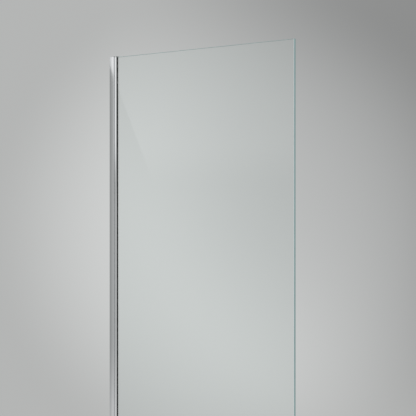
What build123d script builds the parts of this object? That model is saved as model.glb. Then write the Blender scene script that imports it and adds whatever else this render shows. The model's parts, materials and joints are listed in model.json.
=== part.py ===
from build123d import *
import math
import os

# Pivoting bath screen: a pane of toughened glass held in a round pivot profile, which turns in a fixed jamb.
# X runs from the wall along the glass, Y into the bath and Z up, in millimetres.
# The origin lies on the wall plane, in the middle plane of the glass, at the level of the bath rim.

# Overall size
screen_width = 850.0
screen_height = 1500.0

# Glass
glass_thickness = 8.0
glass_arris = 0.8
glass_above_rim = 14.0

# Wall frame, seen from above
frame_depth = 22.0
frame_corner = 0.5
wall_gap = 0.4
pivot_from_wall = 25.5
swing_clearance = 0.4

# Pivot profile
profile_inset = 3.0
profile_wall = 1.6
pocket_behind_pivot = 3.0
glass_behind_pivot = 1.0
glazing_gap = 1.3
jaw_setback = 2.4
seat_clearance = 0.3

# Hinge jamb
jamb_arm_wall = 1.5
jamb_seat_wall = 1.6
port_hole_radius = 1.45
port_boss_wall = 1.05
port_to_seat_wall = 3.0
port_from_face = 3.0

# Wall channel
channel_web = 1.8
channel_arm_wall = 1.5
channel_slide_gap = 0.3
channel_end_gap = 0.4
channel_top_gap = 0.3
channel_corner = 0.4

# Slots for the wall screws
slot_width = 5.5
slot_length = 12.0
slot_from_end = 100.0
slot_count = 4

# Screws between the jamb and the channel
fixing_from_wall = 7.5
fixing_from_end = 150.0
fixing_count = 3
fixing_shank_radius = 1.7
fixing_bite = 2.0
fixing_thread_clearance = 0.05
fixing_hole_clearance = 0.2
fixing_head_radius = 3.4
fixing_head_height = 1.9
fixing_head_round = 0.8
cap_base_radius = 5.0
cap_base_thickness = 1.0
cap_wall = 0.8
cap_fit = 0.2
cap_round = 1.0

# Pivot brackets at the top and the bottom
bracket_thickness = 2.0
tongue_radius = 6.0
tongue_half_width = 4.0
bracket_edge = 0.3
bracket_screw_shank_radius = 1.4
bracket_screw_head_radius = 2.3
bracket_screw_head_height = 0.9
bracket_screw_length = 16.0
bracket_screw_clearance = 0.05
bracket_screw_recess_radius = 0.9
bracket_screw_recess_depth = 0.6

# Pivot pins, bushes and plugs
pin_radius = 2.5
pin_engagement = 11.0
pin_end_chamfer = 0.4
pin_press_clearance = 0.02
pin_running_clearance = 0.05
bush_radius = 4.0
bush_length = 12.0
bush_flange_radius = 5.0
bush_flange_thickness = 0.6
bush_press_clearance = 0.02
plug_depth = 14.0
plug_front = 4.9
plug_play = 0.1
thrust_washer_thickness = 0.5
end_play = 0.2

# Glazing gaskets and setting blocks
gasket_lip_setback = 0.15
gasket_stem_start = 1.0
gasket_tail_drop = 0.2
plug_clearance = 1.0
block_length = 50.0
block_count = 3
block_from_end = 300.0

# Wiper seals in the jamb
wiper_angle = 135.0
wiper_width = 1.6
wiper_depth = 1.4
wiper_play = 0.08
wiper_running_clearance = 0.08

# Bottom seal
seal_start_gap = 0.8
seal_end_setback = 1.0
seal_leg_height = 12.0
seal_leg_wall = 1.2
seal_base = 1.2
seal_fin_thickness = 1.0
seal_fin_spread = 1.5
seal_rim_gap = 0.6
deflector_reach = 7.0
deflector_drop = 7.5

# Places and sizes that follow from the ones above
frame_half = frame_depth / 2
glass_half = glass_thickness / 2
profile_radius = frame_half - profile_inset
seat_radius = profile_radius + seat_clearance
lip_x = pivot_from_wall - glass_half - swing_clearance
jaw_x = pivot_from_wall + profile_radius - jaw_setback
pocket_half = glass_half + glazing_gap
pocket_x = pivot_from_wall - pocket_behind_pivot
glass_x = pivot_from_wall - glass_behind_pivot
hollow_radius = profile_radius - profile_wall
port_boss_radius = port_hole_radius + port_boss_wall
port_y = frame_half - port_from_face
port_reach = seat_radius + port_to_seat_wall + port_hole_radius
port_x = pivot_from_wall - math.sqrt(port_reach**2 - port_y**2)
channel_half = frame_half - jamb_arm_wall - channel_slide_gap
channel_depth = port_x - port_boss_radius - channel_end_gap
rail_bottom = bracket_thickness
rail_top = screen_height - bracket_thickness
profile_bottom = bracket_thickness + thrust_washer_thickness + bush_flange_thickness
profile_top = rail_top - end_play - bush_flange_thickness
glass_top = profile_top
glass_bottom = glass_above_rim
plug_x = pivot_from_wall + plug_front
seal_start = pivot_from_wall + frame_half + seal_start_gap
cap_inner_radius = cap_base_radius + cap_fit
cap_inner_height = cap_base_thickness + fixing_head_height + cap_fit


def slab(x_low, x_high, y_low, y_high):
    """Flat rectangle between two corners."""
    middle = Pos((x_low + x_high) / 2, (y_low + y_high) / 2)
    return middle * Rectangle(x_high - x_low, y_high - y_low)


def rounded_slab(x_low, x_high, half, corner):
    """Flat rectangle about the X axis with rounded corners."""
    middle = Pos((x_low + x_high) / 2, 0)
    return middle * RectangleRounded(x_high - x_low, 2 * half, corner)


def prism(section, low, high):
    """Upright bar of one section between two heights."""
    return extrude(Pos(0, 0, low) * section, amount=high - low, dir=(0, 0, 1))


def disc(radius):
    """Flat disc about the pivot axis."""
    return Pos(pivot_from_wall, 0) * Circle(radius)


def spread(count, first, last):
    """Evenly spaced heights from the first to the last."""
    return [first + (last - first) * index / (count - 1) for index in range(count)]


# Wall channel


def wall_channel():
    """U-shaped rail screwed to the wall through upright slots in its web."""
    section = rounded_slab(0, channel_depth + channel_corner, channel_half, channel_corner)
    section &= slab(0, channel_depth, -channel_half, channel_half)
    inner_half = channel_half - channel_arm_wall
    section -= slab(channel_web, channel_depth, -inner_half, inner_half)
    rail = prism(section, 0, rail_top - channel_top_gap)
    slot = Plane.YZ * Rot(0, 0, 90) * SlotOverall(slot_length, slot_width)
    cutter = extrude(slot, amount=channel_web, dir=(1, 0, 0))
    for height in spread(slot_count, slot_from_end, screen_height - slot_from_end):
        rail -= Pos(0, 0, height) * cutter
    hole_radius = fixing_shank_radius + fixing_thread_clearance
    return rail - fixing_bores(hole_radius, inner_half, channel_half)


# Hinge jamb


def fixing_heights():
    """Heights of the screws that hold the jamb on the channel."""
    return spread(fixing_count, fixing_from_end, screen_height - fixing_from_end)


def fixing_bores(radius, y_low, y_high):
    """Round bars along Y at each fixing screw, between two distances from the glass."""
    turn = Rot(90, 0, 0)
    length = y_high - y_low
    middle = (y_low + y_high) / 2
    bars = Part()
    for height in fixing_heights():
        bars += Pos(fixing_from_wall, middle, height) * turn * Cylinder(radius, length)
    return bars


def wiper_slot(side, play, depth, inner_radius):
    """Section of a wiper seal or of its groove, on one side of the jamb's seat."""
    middle = Pos(inner_radius + depth / 2, 0)
    return Pos(pivot_from_wall, 0) * Rot(0, 0, side * wiper_angle) * middle * Rectangle(
        depth, wiper_width - 2 * play
    )


def jamb_section():
    """Two flat arms joined by a round seat, with a screw port in each corner."""
    section = disc(seat_radius + jamb_seat_wall)
    for side in (-1, 1):
        inner = side * (frame_half - jamb_arm_wall)
        outer = side * frame_half
        section += slab(wall_gap, lip_x, min(inner, outer), max(inner, outer))
        corner = side * (port_y - port_boss_radius)
        section += slab(port_x, lip_x, min(corner, outer), max(corner, outer))
        section += Pos(port_x, side * port_y) * Circle(port_boss_radius)
    section &= rounded_slab(wall_gap, lip_x, frame_half, frame_corner)
    section -= disc(seat_radius)
    for side in (-1, 1):
        section -= Pos(port_x, side * port_y) * Circle(port_hole_radius)
        section -= wiper_slot(side, 0, 2 * wiper_depth, seat_radius - wiper_depth)
    return section


def hinge_jamb():
    """Fixed profile that slides over the wall channel and seats the pivot profile."""
    jamb = prism(jamb_section(), rail_bottom, rail_top)
    hole_radius = fixing_shank_radius + fixing_hole_clearance
    return jamb - fixing_bores(hole_radius, frame_half - jamb_arm_wall, frame_half)


def wiper_seal(side):
    """Soft strip in the jamb's seat that wipes the turning profile."""
    inner_radius = profile_radius + wiper_running_clearance
    depth = seat_radius + wiper_depth - wiper_play - inner_radius
    return prism(wiper_slot(side, wiper_play, depth, inner_radius), rail_bottom, rail_top)


# Screws, bases and covers on the bath side of the jamb


def on_jamb_face(piece):
    """One copy of an upright piece at each fixing, standing out from the jamb's bath side."""
    copies = Part()
    for height in fixing_heights():
        copies += Pos(fixing_from_wall, frame_half, height) * Rot(-90, 0, 0) * piece
    return copies


def standing_bar(radius, low, high):
    """Round bar about Z between two heights."""
    return Pos(0, 0, (low + high) / 2) * Cylinder(radius, high - low)


def jamb_fixing_screws():
    """Pan-head screws through the jamb into the channel."""
    tip = channel_half - channel_arm_wall - fixing_bite - frame_half
    head = standing_bar(fixing_head_radius, cap_base_thickness, cap_base_thickness + fixing_head_height)
    head = fillet(head.edges().sort_by(Axis.Z)[-1], fixing_head_round)
    shank = standing_bar(fixing_shank_radius, tip, cap_base_thickness)
    shank = chamfer(shank.edges().sort_by(Axis.Z)[0], fixing_shank_radius / 2)
    recess_top = cap_base_thickness + fixing_head_height
    recess = standing_bar(fixing_shank_radius / 2, recess_top - fixing_head_height / 2, recess_top)
    return on_jamb_face(head + shank - recess)


def screw_cap_bases():
    """Snap rings under the screw heads."""
    ring = standing_bar(cap_base_radius, 0, cap_base_thickness)
    ring -= standing_bar(fixing_shank_radius + fixing_hole_clearance, 0, cap_base_thickness)
    return on_jamb_face(ring)


def screw_cover_caps():
    """Domed covers that snap over the rings and hide the screws."""
    outer = standing_bar(cap_inner_radius + cap_wall, 0, cap_inner_height + cap_wall)
    outer = fillet(outer.edges().sort_by(Axis.Z)[-1], cap_round)
    return on_jamb_face(outer - standing_bar(cap_inner_radius, 0, cap_inner_height))


# Pivot brackets


def bracket_plate():
    """End plate of the jamb with a tongue that reaches over the pivot axis."""
    section = rounded_slab(wall_gap, lip_x, frame_half, frame_corner)
    section -= disc(seat_radius)
    bridge_start = pivot_from_wall - seat_radius - jamb_seat_wall
    section += slab(bridge_start, pivot_from_wall, -tongue_half_width, tongue_half_width)
    section += disc(tongue_radius)
    plate = prism(section, 0, bracket_thickness)
    plate = chamfer(plate.edges().group_by(Axis.Z)[-1], bracket_edge)
    plate -= Pos(pivot_from_wall, 0) * standing_bar(
        pin_radius + pin_press_clearance, 0, bracket_thickness
    )
    shank_hole = bracket_screw_shank_radius + bracket_screw_clearance
    for side in (-1, 1):
        port = Pos(port_x, side * port_y)
        plate -= port * standing_bar(shank_hole, 0, bracket_thickness)
        plate -= port * screw_head(bracket_screw_clearance)
    return plate


def screw_head(clearance):
    """Countersunk head whose top is level with the plate's outer face."""
    middle = bracket_thickness - bracket_screw_head_height / 2
    return Pos(0, 0, middle) * Cone(
        bracket_screw_shank_radius + clearance,
        bracket_screw_head_radius + clearance,
        bracket_screw_head_height,
    )


def bracket_screws():
    """Pair of countersunk screws down into the jamb's ports."""
    tip = bracket_thickness - bracket_screw_length
    screw = standing_bar(bracket_screw_shank_radius, tip, bracket_thickness - bracket_screw_head_height)
    screw = chamfer(screw.edges().sort_by(Axis.Z)[0], bracket_screw_shank_radius / 2)
    screw += screw_head(0)
    recess_bottom = bracket_thickness - bracket_screw_recess_depth
    screw -= standing_bar(bracket_screw_recess_radius, recess_bottom, bracket_thickness)
    pair = Part()
    for side in (-1, 1):
        pair += Pos(port_x, side * port_y) * screw
    return pair


def pivot_pin(inner_end):
    """Steel pin pressed into the bracket's tongue, from the plate's face down to its inner end."""
    pin = standing_bar(pin_radius, inner_end, bracket_thickness)
    pin = chamfer(pin.edges().sort_by(Axis.Z)[0], pin_end_chamfer)
    return Pos(pivot_from_wall, 0) * pin


def at_top(piece):
    """Places an end fitting on the top of the jamb."""
    return Pos(0, 0, rail_top) * piece


def at_bottom(piece):
    """Turns an end fitting over and places it under the jamb."""
    return Pos(0, 0, bracket_thickness) * Rot(180, 0, 0) * piece


def bottom_bracket_plate():
    """The end plate, cut clear of the wall channel that passes it."""
    reach = channel_depth + channel_slide_gap
    half = channel_half + channel_slide_gap
    channel_cut = slab(0, reach, -half, half)
    return at_bottom(bracket_plate()) - prism(channel_cut, 0, bracket_thickness)


def thrust_washer():
    """Steel washer that carries the weight of the glass on the bottom bracket."""
    section = disc(bush_flange_radius) - disc(pin_radius + pin_running_clearance)
    return prism(section, bracket_thickness, bracket_thickness + thrust_washer_thickness)


# Pivot profile and what turns with it


def plug_section(play):
    """Section of the end plugs: a half round at the back and the glazing pocket in front."""
    back = pivot_from_wall - hollow_radius
    half = pocket_half - play
    section = disc(hollow_radius - play) & slab(back, pivot_from_wall, -hollow_radius, hollow_radius)
    return section + slab(pivot_from_wall, plug_x - play, -half, half)


def profile_section():
    """Round bar with a glazing pocket in front and a hollow behind it."""
    front = pivot_from_wall + profile_radius
    back = pivot_from_wall - profile_radius
    section = disc(profile_radius) & slab(back, jaw_x, -profile_radius, profile_radius)
    section -= slab(pocket_x, front, -pocket_half, pocket_half)
    hollow_edge = pocket_x - profile_wall
    section -= disc(hollow_radius) & slab(back, hollow_edge, -profile_radius, profile_radius)
    return section


def pivot_profile():
    """Round profile that grips the glass, bored at both ends for the plugs."""
    bar = prism(profile_section(), profile_bottom, profile_top)
    socket = plug_section(0)
    bar -= prism(socket, profile_bottom, profile_bottom + plug_depth)
    bar -= prism(socket, profile_top - plug_depth, profile_top)
    return bar


def pivot_plug(low):
    """Moulded block in the end of the profile that holds a bush."""
    bush_bore = disc(bush_radius + bush_press_clearance)
    return prism(plug_section(plug_play) - bush_bore, low, low + plug_depth)


def top_pivot_bush():
    """Flanged bush in the top plug, with its flange under the bracket's tongue."""
    bore = disc(pin_radius + pin_running_clearance)
    flange = prism(disc(bush_flange_radius) - bore, profile_top, profile_top + bush_flange_thickness)
    return flange + prism(disc(bush_radius) - bore, profile_top - bush_length, profile_top)


def bottom_pivot_bush():
    """Flanged bush in the bottom plug, standing on the thrust washer."""
    bore = disc(pin_radius + pin_running_clearance)
    flange_bottom = profile_bottom - bush_flange_thickness
    flange = prism(disc(bush_flange_radius) - bore, flange_bottom, profile_bottom)
    return flange + prism(disc(bush_radius) - bore, profile_bottom, profile_bottom + bush_length)


def gasket(side):
    """Black wedge between a jaw and the glass, with a tail left proud of the glass at the top."""
    nose_x = pivot_from_wall + math.sqrt(profile_radius**2 - glass_half**2)
    jaw_y = math.sqrt(profile_radius**2 - (jaw_x - pivot_from_wall) ** 2)
    corners = [
        (jaw_x, side * glass_half),
        (nose_x, side * glass_half),
        (jaw_x, side * (jaw_y - gasket_lip_setback)),
    ]
    wedge = make_face(Polyline(*corners, close=True))
    inner = side * glass_half
    outer = side * pocket_half
    neck = slab(plug_x + plug_play, jaw_x, min(inner, outer), max(inner, outer))
    stem_x = pivot_from_wall + gasket_stem_start
    stem = slab(stem_x, plug_x + plug_play, min(inner, outer), max(inner, outer))
    piece = prism(neck, profile_bottom, profile_top)
    piece += prism(wedge, profile_bottom, screen_height - gasket_tail_drop)
    stem_bottom = profile_bottom + plug_depth + plug_clearance
    return piece + prism(stem, stem_bottom, profile_top - plug_depth - plug_clearance)


def glass_setting_blocks():
    """Nylon blocks on the floor of the pocket that the edge of the glass rests against."""
    section = slab(pocket_x, glass_x, -glass_half, glass_half)
    blocks = Part()
    for height in spread(block_count, block_from_end, screen_height - block_from_end):
        blocks += prism(section, height - block_length / 2, height + block_length / 2)
    return blocks


def glass_panel():
    """Pane with ground edges, notched behind the jaws to clear the pivot plugs."""
    pane = prism(slab(glass_x, screen_width, -glass_half, glass_half), glass_bottom, glass_top)
    pane = chamfer(pane.edges(), glass_arris)
    notch = slab(glass_x, plug_x + plug_clearance / 2, -glass_half, glass_half)
    notch_bottom = profile_bottom + plug_depth + plug_clearance
    notch_top = profile_top - plug_depth - plug_clearance
    pane -= prism(notch, glass_bottom, notch_bottom)
    return pane - prism(notch, notch_top, glass_top)


# Bottom seal


def fin(start, end):
    """Thin flat fin between two points of the seal's section, with rounded ends."""
    length = math.dist(start, end)
    angle = math.degrees(math.atan2(end[1] - start[1], end[0] - start[0]))
    middle = Pos((start[0] + end[0]) / 2, (start[1] + end[1]) / 2)
    return middle * Rot(0, 0, angle) * SlotCenterToCenter(length, seal_fin_thickness)


def seal_section():
    """Clip round the bottom edge of the glass, two fins towards the rim and a drip deflector."""
    outer = glass_half + seal_leg_wall
    base_bottom = glass_bottom - seal_base
    clip = slab(-outer, outer, base_bottom, glass_bottom + seal_leg_height)
    clip -= slab(-glass_half, glass_half, glass_bottom, glass_bottom + seal_leg_height)
    root = base_bottom + seal_fin_thickness / 2
    tip = seal_rim_gap + seal_fin_thickness / 2
    for side in (-1, 1):
        fin_root = side * (outer - seal_fin_thickness / 2)
        clip += fin((fin_root, root), (fin_root + side * seal_fin_spread, tip))
    deflector_root = outer - seal_fin_thickness / 2
    return clip + fin((deflector_root, root), (outer + deflector_reach, root - deflector_drop))


def bottom_seal_strip():
    """Clear strip along the bottom of the glass, from the pivot profile to the free edge."""
    section = Plane.YZ.offset(seal_start) * seal_section()
    return extrude(section, amount=screen_width - seal_end_setback - seal_start, dir=(1, 0, 0))


def build_parts():
    """Every separate piece by name."""
    plate_top = bracket_thickness
    top_pin_end = profile_top - pin_engagement - rail_top
    bottom_pin_end = plate_top - profile_bottom - pin_engagement
    return {
        "wall_channel": wall_channel(),
        "hinge_jamb": hinge_jamb(),
        "outer_wiper_seal": wiper_seal(-1),
        "inner_wiper_seal": wiper_seal(1),
        "jamb_fixing_screws": jamb_fixing_screws(),
        "screw_cap_bases": screw_cap_bases(),
        "screw_cover_caps": screw_cover_caps(),
        "top_pivot_bracket": at_top(bracket_plate()),
        "bottom_pivot_bracket": bottom_bracket_plate(),
        "top_bracket_screws": at_top(bracket_screws()),
        "bottom_bracket_screws": at_bottom(bracket_screws()),
        "top_pivot_pin": at_top(pivot_pin(top_pin_end)),
        "bottom_pivot_pin": at_bottom(pivot_pin(bottom_pin_end)),
        "thrust_washer": thrust_washer(),
        "pivot_profile": pivot_profile(),
        "top_pivot_plug": pivot_plug(profile_top - plug_depth),
        "bottom_pivot_plug": pivot_plug(profile_bottom),
        "top_pivot_bush": top_pivot_bush(),
        "bottom_pivot_bush": bottom_pivot_bush(),
        "outer_glazing_gasket": gasket(-1),
        "inner_glazing_gasket": gasket(1),
        "glass_setting_blocks": glass_setting_blocks(),
        "glass_panel": glass_panel(),
        "bottom_seal_strip": bottom_seal_strip(),
    }


os.makedirs("parts", exist_ok=True)
for name, piece in build_parts().items():
    export_step(piece, f"parts/{name}.step")
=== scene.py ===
"""Dresses the packed bath screen: a smooth round pivot bar, glazing gaskets, wiper seals, drip seal, screw covers
and screw heads as worked-out surfaces, a material for every piece, and a plain studio with the photograph's camera.
Lengths are in metres: X runs from the wall along the glass, Y into the bath and Z up."""
import json
import math

import bpy
import numpy as np
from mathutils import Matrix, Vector

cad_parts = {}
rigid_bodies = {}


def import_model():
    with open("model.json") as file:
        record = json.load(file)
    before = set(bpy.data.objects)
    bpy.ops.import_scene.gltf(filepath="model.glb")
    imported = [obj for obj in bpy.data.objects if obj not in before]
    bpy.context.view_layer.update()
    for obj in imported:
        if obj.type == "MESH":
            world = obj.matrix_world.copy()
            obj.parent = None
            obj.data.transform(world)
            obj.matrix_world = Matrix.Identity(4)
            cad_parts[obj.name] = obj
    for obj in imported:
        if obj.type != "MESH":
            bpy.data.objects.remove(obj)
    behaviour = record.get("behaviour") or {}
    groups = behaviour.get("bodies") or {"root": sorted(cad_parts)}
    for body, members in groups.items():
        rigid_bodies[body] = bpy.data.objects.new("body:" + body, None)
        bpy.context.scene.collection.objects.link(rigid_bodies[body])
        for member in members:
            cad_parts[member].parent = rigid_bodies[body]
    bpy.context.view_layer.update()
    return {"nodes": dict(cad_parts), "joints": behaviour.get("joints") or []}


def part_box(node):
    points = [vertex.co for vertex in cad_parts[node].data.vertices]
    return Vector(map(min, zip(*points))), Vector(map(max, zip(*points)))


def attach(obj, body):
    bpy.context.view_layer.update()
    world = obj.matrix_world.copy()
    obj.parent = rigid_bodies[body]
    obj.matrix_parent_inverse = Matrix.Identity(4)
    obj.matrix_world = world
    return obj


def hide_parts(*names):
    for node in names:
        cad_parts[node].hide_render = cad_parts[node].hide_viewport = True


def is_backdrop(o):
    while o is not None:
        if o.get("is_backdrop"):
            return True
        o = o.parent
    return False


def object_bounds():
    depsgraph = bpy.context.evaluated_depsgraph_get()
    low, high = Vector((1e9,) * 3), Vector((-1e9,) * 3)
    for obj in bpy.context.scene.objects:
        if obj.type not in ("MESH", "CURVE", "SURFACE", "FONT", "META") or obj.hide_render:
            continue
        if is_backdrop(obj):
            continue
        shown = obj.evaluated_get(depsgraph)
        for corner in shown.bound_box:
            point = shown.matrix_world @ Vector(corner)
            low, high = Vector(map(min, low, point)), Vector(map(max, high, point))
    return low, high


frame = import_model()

bl_info = {
    "name": "Bath Screen Dressing",
    "version": (1, 0, 0),
    "blender": (4, 5, 0),
    "location": "View3D > Sidebar > Bath Screen",
    "description": "Finishes a pivoting bath screen: chrome, gaskets, glass, seals, screw covers and studio",
    "category": "Object",
}

MM = 0.001
NODES = frame["nodes"]
HINGE = frame["joints"][0]
PIVOT_X = HINGE["pos_m"][0]
WALL_BODY = HINGE["parent"]
SCREEN_BODY = HINGE["child"]


# Places read from the packed frame

PROFILE_LOW, PROFILE_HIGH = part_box("pivot_profile")
GLASS_LOW, GLASS_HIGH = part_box("glass_panel")
JAMB_LOW, JAMB_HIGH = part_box("hinge_jamb")
PLUG_LOW, PLUG_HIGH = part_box("top_pivot_plug")
_, LOWER_PLUG_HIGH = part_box("bottom_pivot_plug")
GASKET_LOW, GASKET_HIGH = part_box("inner_glazing_gasket")
WIPER_LOW, WIPER_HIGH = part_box("inner_wiper_seal")
SEAL_LOW, SEAL_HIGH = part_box("bottom_seal_strip")
COVER_LOW, COVER_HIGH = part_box("screw_cover_caps")
SCREW_LOW, SCREW_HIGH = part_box("top_bracket_screws")
LOWER_SCREW_LOW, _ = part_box("bottom_bracket_screws")
GLASS_HALF = GLASS_HIGH.y
PROFILE_RADIUS = PROFILE_HIGH.y


# Sizes and colours that a user may change


def length(name, description, value):
    """A setting that is a length in metres."""
    return bpy.props.FloatProperty(name=name, description=description, default=value, unit="LENGTH")


def tint(name, description, value):
    """A setting that is a colour."""
    return bpy.props.FloatVectorProperty(name=name, description=description, default=value, subtype="COLOR")


class PivotBarSizes(bpy.types.PropertyGroup):
    """Section of the round pivot bar."""

    pocket_half: length(
        "Pocket half width",
        "From the middle of the glass to the wall of the glazing pocket",
        5.3 * MM,
    )
    pocket_back: length(
        "Pocket floor behind the pivot",
        "From the pivot axis back to the floor of the glazing pocket",
        3.0 * MM,
    )
    wall: length("Wall", "Wall of the round bar behind its pocket", 1.6 * MM)
    jaw_round: length("Jaw edge radius", "Radius on the two edges of each jaw", 0.25 * MM)


class GasketSizes(bpy.types.PropertyGroup):
    """Section of the black glazing gaskets."""

    glass_gap: length(
        "Gap at the glass",
        "Hair of air between rubber and glass, so that the two faces don't coincide",
        0.02 * MM,
    )
    nose_round: length("Nose radius", "Radius of the thin edge that lies on the glass", 0.16 * MM)
    sag: length("Hollow of the slope", "How far the sloping face is drawn in between its two edges", 0.12 * MM)


class WiperSizes(bpy.types.PropertyGroup):
    """Section of the wiper seals between jamb and pivot bar."""

    running_gap: length("Running gap", "Clearance between the bead and the turning bar", 0.08 * MM)
    bead_radius: length("Bead radius", "Radius of the soft bead that faces the bar", 0.45 * MM)
    foot_half: length("Foot half width", "Half the width of the foot in its groove", 0.7 * MM)


class DripSealSizes(bpy.types.PropertyGroup):
    """Section of the clear seal under the glass."""

    leg_wall: length("Leg wall", "Thickness of the legs that grip the glass", 1.2 * MM)
    tip_wall: length("Leg tip wall", "Thickness of the legs at their upper edge", 0.7 * MM)
    fin_wall: length("Fin wall", "Thickness of the fins at their root", 1.0 * MM)
    bulb_radius: length("Deflector bead radius", "Radius of the bead along the edge of the drip deflector", 0.62 * MM)


class GlassSizes(bpy.types.PropertyGroup):
    """Edges of the glass pane."""

    arris: length("Arris", "Width of the ground bevel between face and edge", 0.8 * MM)
    plug_gap: length(
        "Gap at the plugs",
        "Room between a pivot plug and the notch in the glass above or below it",
        1.0 * MM,
    )


class CoverSizes(bpy.types.PropertyGroup):
    """Domed covers over the jamb's screws."""

    wall: length("Wall", "Wall of the cover", 0.8 * MM)
    crown: length("Crown", "How far the middle of the cover stands above its shoulder", 0.7 * MM)


class ScrewSizes(bpy.types.PropertyGroup):
    """Countersunk screws of the pivot brackets."""

    recess_arm: length("Recess arm", "Reach of the cross recess from its centre", 1.25 * MM)
    recess_half: length("Recess arm half width", "Half the width of each arm of the cross recess", 0.3 * MM)
    recess_depth: length("Recess depth", "Depth of the cross recess", 0.6 * MM)
    thread_pitch: length("Thread pitch", "Height between two turns of the thread", 1.2 * MM)


class Finishes(bpy.types.PropertyGroup):
    """Colours of the materials."""

    chrome: tint("Chrome", "Colour of the bright chrome", (0.80, 0.81, 0.82))
    # Painted shade: the chrome takes on this darker colour towards the wall, in place of the shaded wall that it
    # mirrors.
    chrome_painted_shade: tint(
        "Film on the chrome",
        "Colour of the chrome where a thin water film has dried in the corner by the wall",
        (0.57, 0.58, 0.59),
    )
    aluminium: tint("Plain aluminium", "Colour of the drawn wall channel", (0.64, 0.65, 0.66))
    steel: tint("Stainless steel", "Colour of screws, pins and washer", (0.60, 0.60, 0.59))
    rubber: tint("Black rubber", "Colour of the glazing gaskets", (0.015, 0.0165, 0.0165))
    nylon: tint("Black nylon", "Colour of plugs and snap rings", (0.028, 0.028, 0.029))
    acetal: tint("White acetal", "Colour of bushes and setting blocks", (0.78, 0.78, 0.75))
    grey_seal: tint("Grey seal", "Colour of the wiper seals", (0.30, 0.31, 0.32))
    glass: tint("Glass", "Light that the pane lets through face to face", (0.955, 0.985, 0.978))
    glass_edge: tint("Glass edge", "Colour of the polished edges", (0.265, 0.41, 0.40))
    glass_arris: tint("Glass arris", "Colour of the ground bevels beside the edges", (0.80, 0.88, 0.87))
    clear_seal: tint("Clear seal", "Colour of the clear seal under the glass", (0.90, 0.93, 0.92))


class StudioSettings(bpy.types.PropertyGroup):
    """Camera, background and lamps."""

    camera_place: bpy.props.FloatVectorProperty(
        name="Camera place",
        description="Where the camera stands",
        default=(3.883, -3.531, 0.9669),
        subtype="TRANSLATION",
        unit="LENGTH",
    )
    azimuth: bpy.props.FloatProperty(
        name="Azimuth",
        description="Turn of the level line of sight from the direction into the bath",
        default=math.radians(44.0116),
        subtype="ANGLE",
    )
    lens: bpy.props.FloatProperty(
        name="Lens",
        description="Focal length on a 36 mm wide sensor, in millimetres",
        default=128.4,
    )
    background: tint("Background", "Pale grey behind the screen", (0.458, 0.465, 0.461))
    background_pool: tint(
        "Light pool",
        "Light that a soft pool adds to the middle of the background",
        (0.183, 0.187, 0.186),
    )
    background_shade: tint("Shaded background", "Grey towards the top right of the background", (0.267, 0.270, 0.269))
    panel: tint("Light panel", "Soft panels that show only as reflections", (1.0, 1.0, 1.0))
    flag: tint(
        "Dark flag",
        "Dark cards that show only as reflections and draw the edges of the chrome",
        (0.10, 0.10, 0.105),
    )
    floor: tint("Floor", "Colour of the pale floor", (0.66, 0.67, 0.67))
    floor_radius: length("Floor radius", "Reach of the round floor, which fades out towards its rim", 1.5)


PROPERTY_GROUPS = {
    "bath_screen_bar": PivotBarSizes,
    "bath_screen_gasket": GasketSizes,
    "bath_screen_wiper": WiperSizes,
    "bath_screen_glass": GlassSizes,
    "bath_screen_drip": DripSealSizes,
    "bath_screen_cover": CoverSizes,
    "bath_screen_screw": ScrewSizes,
    "bath_screen_finish": Finishes,
    "bath_screen_studio": StudioSettings,
}


# Outlines and surfaces


def arc(centre, radius, start, end, steps):
    """Points and normals of an arc: centre + radius (cos t, sin t) for even t, with the normal (cos t, sin t)."""
    turn = np.linspace(start, end, steps + 1)
    normals = np.stack([np.cos(turn), np.sin(turn)], axis=-1)
    return np.asarray(centre) + radius * normals, normals


def segment(start, end):
    """Two points and their common normal, which is the direction of travel turned right."""
    points = np.array([start, end], float)
    travel = (points[1] - points[0]) / np.linalg.norm(points[1] - points[0])
    return points, np.tile([travel[1], -travel[0]], (2, 1))


def rounded_outline(corners, radii, steps=5):
    """Closed outline, counter-clockwise, with an arc at each corner.

    With unit directions a and b from corner P to its neighbours and h half the angle between them, the arc of
    radius r has its centre at P + (a + b) / |a + b| * r / sin h and touches the sides r / tan h from P."""
    corner = np.asarray(corners, float)
    radius = np.broadcast_to(np.asarray(radii, float), len(corner))[:, None]
    back = np.roll(corner, 1, axis=0) - corner
    ahead = np.roll(corner, -1, axis=0) - corner
    back /= np.linalg.norm(back, axis=1, keepdims=True)
    ahead /= np.linalg.norm(ahead, axis=1, keepdims=True)
    half = 0.5 * np.arccos(np.clip(np.sum(back * ahead, axis=1, keepdims=True), -1, 1))
    bisector = (back + ahead) / np.linalg.norm(back + ahead, axis=1, keepdims=True)
    centre = corner + bisector * radius / np.sin(half)
    first = corner + back * radius / np.tan(half) - centre
    last = corner + ahead * radius / np.tan(half) - centre
    start = np.arctan2(first[:, 1], first[:, 0])
    sweep = np.arctan2(last[:, 1], last[:, 0]) - start
    sweep = (sweep + math.pi) % (2 * math.pi) - math.pi
    turn = start[:, None] + sweep[:, None] * np.linspace(0, 1, steps + 1)
    radial = np.stack([np.cos(turn), np.sin(turn)], axis=-1)
    outward = np.where(sweep > 0, 1.0, -1.0)[:, None, None]
    points = centre[:, None] + radius[:, None] * radial
    return points.reshape(-1, 2), (outward * radial).reshape(-1, 2)


def closed(points, normals):
    """The outline with its first point repeated at the end."""
    return np.concatenate([points, points[:1]]), np.concatenate([normals, normals[:1]])


def joined(*parts):
    """One open outline from stretches that follow each other."""
    return np.concatenate([p for p, _ in parts]), np.concatenate([n for _, n in parts])


def side_normals(corners):
    """Unit normal into a counter-clockwise outline, for each of its sides."""
    travel = np.roll(corners, -1, axis=0) - corners
    travel /= np.linalg.norm(travel, axis=1, keepdims=True)
    return np.stack([-travel[:, 1], travel[:, 0]], axis=-1)


def inset(corners, distance):
    """Corners moved in by a distance from both their sides: P + d (m + n) / (1 + m . n) with side normals m and n."""
    ahead = side_normals(corners)
    back = np.roll(ahead, 1, axis=0)
    return corners + distance * (ahead + back) / (1 + np.sum(ahead * back, axis=1, keepdims=True))


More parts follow.
